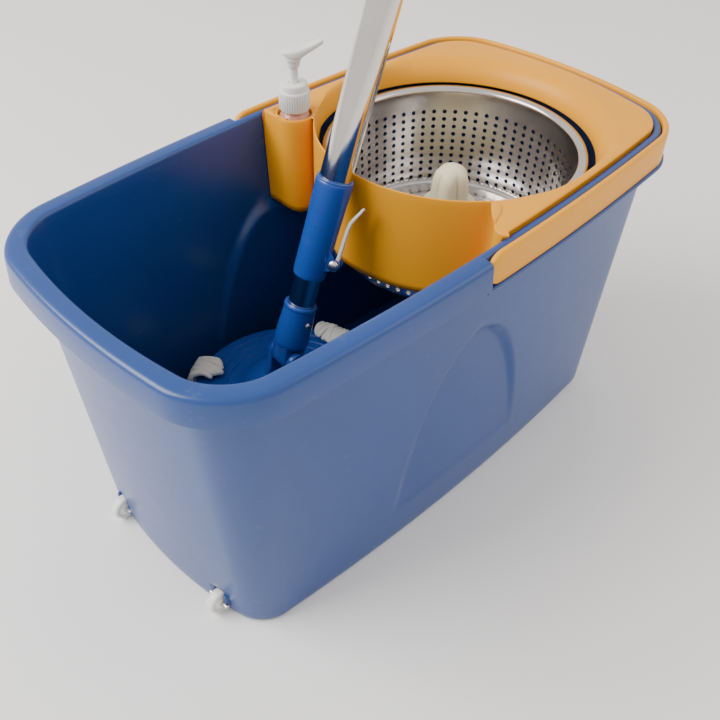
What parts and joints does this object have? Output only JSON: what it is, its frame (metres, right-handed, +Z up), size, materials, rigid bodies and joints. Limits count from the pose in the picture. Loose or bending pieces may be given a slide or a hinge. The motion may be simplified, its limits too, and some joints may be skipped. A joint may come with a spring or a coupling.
{
  "type": "spin mop",
  "caption": "Twist mop standing in a wheeled plastic bucket with a perforated steel spinner, a soap pump and a bail handle.",
  "frame": {"origin": "middle of the bucket's flat underside, half way along the rim", "axes": "+Z up, +X towards the spinner, -X towards the wheels, -Y and +Y towards the long sides"},
  "size_m": [0.5132, 0.2774, 0.8272],
  "materials": {
    "bucket": "moulded blue polypropylene, satin gloss",
    "orange": "moulded orange polypropylene, satin gloss",
    "basket_steel": "polished spun stainless sheet",
    "tube_steel": "polished stainless tube",
    "hardware_steel": "bright zinc-plated steel",
    "cream_plastic": "natural nylon",
    "white_plastic": "white moulded plastic",
    "soap_bottle": "translucent bottle with pink soap",
    "grip": "blue moulded grip",
    "amber_plastic": "acetal drive nut",
    "yarn": "white microfibre yarn"
  },
  "bodies": {
    "bucket": {"bucket_shell": "bucket", "splash_insert": "orange", "spindle": "hardware_steel", "thrust_washer": "white_plastic", "wheel_axles": "hardware_steel", "bail_pivots": "orange"},
    "bail": {"bail_handle": "orange"},
    "basket": {"spin_basket": "basket_steel", "drive_hub": "cream_plastic", "hub_clamp_ring": "white_plastic", "hub_screws": "hardware_steel", "spindle_bush": "white_plastic"},
    "wheel_near": {"wheel_near": "white_plastic"},
    "wheel_far": {"wheel_far": "white_plastic"},
    "bottle": {"soap_bottle": "soap_bottle", "pump_collar": "white_plastic", "pump_cylinder": "white_plastic", "pump_spring": "hardware_steel", "dip_tube": "white_plastic"},
    "pump": {"pump_head": "white_plastic", "pump_stem": "white_plastic"},
    "guide": {"guide_bush": "white_plastic"},
    "handle": {"upper_tube": "tube_steel", "hand_grip": "grip", "hanger_cap": "grip", "clamp_body": "bucket", "clamp_pin": "hardware_steel", "twist_rod": "hardware_steel", "rod_anchor": "white_plastic"},
    "lever": {"clamp_lever": "white_plastic"},
    "lower_pole": {"lower_tube": "tube_steel", "drive_nut": "amber_plastic", "head_socket": "bucket", "socket_rivet": "hardware_steel"},
    "head": {"head_pin": "hardware_steel", "mop_plate": "bucket", "refill_ring": "white_plastic", "mop_strands": "yarn"}
  },
  "joints": [
    {"name": "bail_swing", "type": "hinge", "parent": "bucket", "child": "bail", "pos_m": [-0.01, 0, 0.2592], "axis": [0, -1, 0], "range_deg": [0, 65]},
    {"name": "basket_spin", "type": "hinge", "parent": "bucket", "child": "basket", "pos_m": [0.098, 0, 0.2], "axis": [0, 0, 1], "continuous": true},
    {"name": "wheel_near_spin", "type": "hinge", "parent": "bucket", "child": "wheel_near", "pos_m": [-0.222, -0.064, 0.0115], "axis": [0, 1, 0], "continuous": true},
    {"name": "wheel_far_spin", "type": "hinge", "parent": "bucket", "child": "wheel_far", "pos_m": [-0.222, 0.064, 0.0115], "axis": [0, 1, 0], "continuous": true},
    {"name": "bottle_lift", "type": "slide", "parent": "bucket", "child": "bottle", "axis": [0, 0, 1], "range_m": [0, 0.09]},
    {"name": "pump_press", "type": "slide", "parent": "bottle", "child": "pump", "axis": [0, 0, -1], "range_m": [0, 0.01], "stiffness_N_per_m": 150, "springref_m": -0.01, "deforming": ["pump_spring"]},
    {"name": "mop_lift", "type": "slide", "parent": "bucket", "child": "guide", "axis": [-0.22, -0.03, 0.975], "range_m": [0, 0.32]},
    {"name": "handle_slide", "type": "slide", "parent": "guide", "child": "handle", "axis": [0.3328, -0.0256, 0.9426], "range_m": [0, 0.3]},
    {"name": "head_spin", "type": "hinge", "parent": "guide", "child": "lower_pole", "pos_m": [-0.0823, 0.0076, 0.133], "axis": [0.3328, -0.0256, 0.9426], "range_deg": [0, 720]},
    {"name": "clamp_lever_swing", "type": "hinge", "parent": "handle", "child": "lever", "pos_m": [-0.04624, -0.01067, 0.21387], "axis": [0.8659, 0.4042, -0.2947], "range_deg": [0, 95]},
    {"name": "head_tilt", "type": "hinge", "parent": "lower_pole", "child": "head", "pos_m": [-0.0823, 0.0076, 0.133], "axis": [0.0767, 0.9971, 0], "range_deg": [-50, 95], "deforming": ["mop_strands"]}
  ],
  "couplings": [
    {"joint": "head_spin", "follows": "handle_slide", "rad_per_m": 41.888}
  ]
}
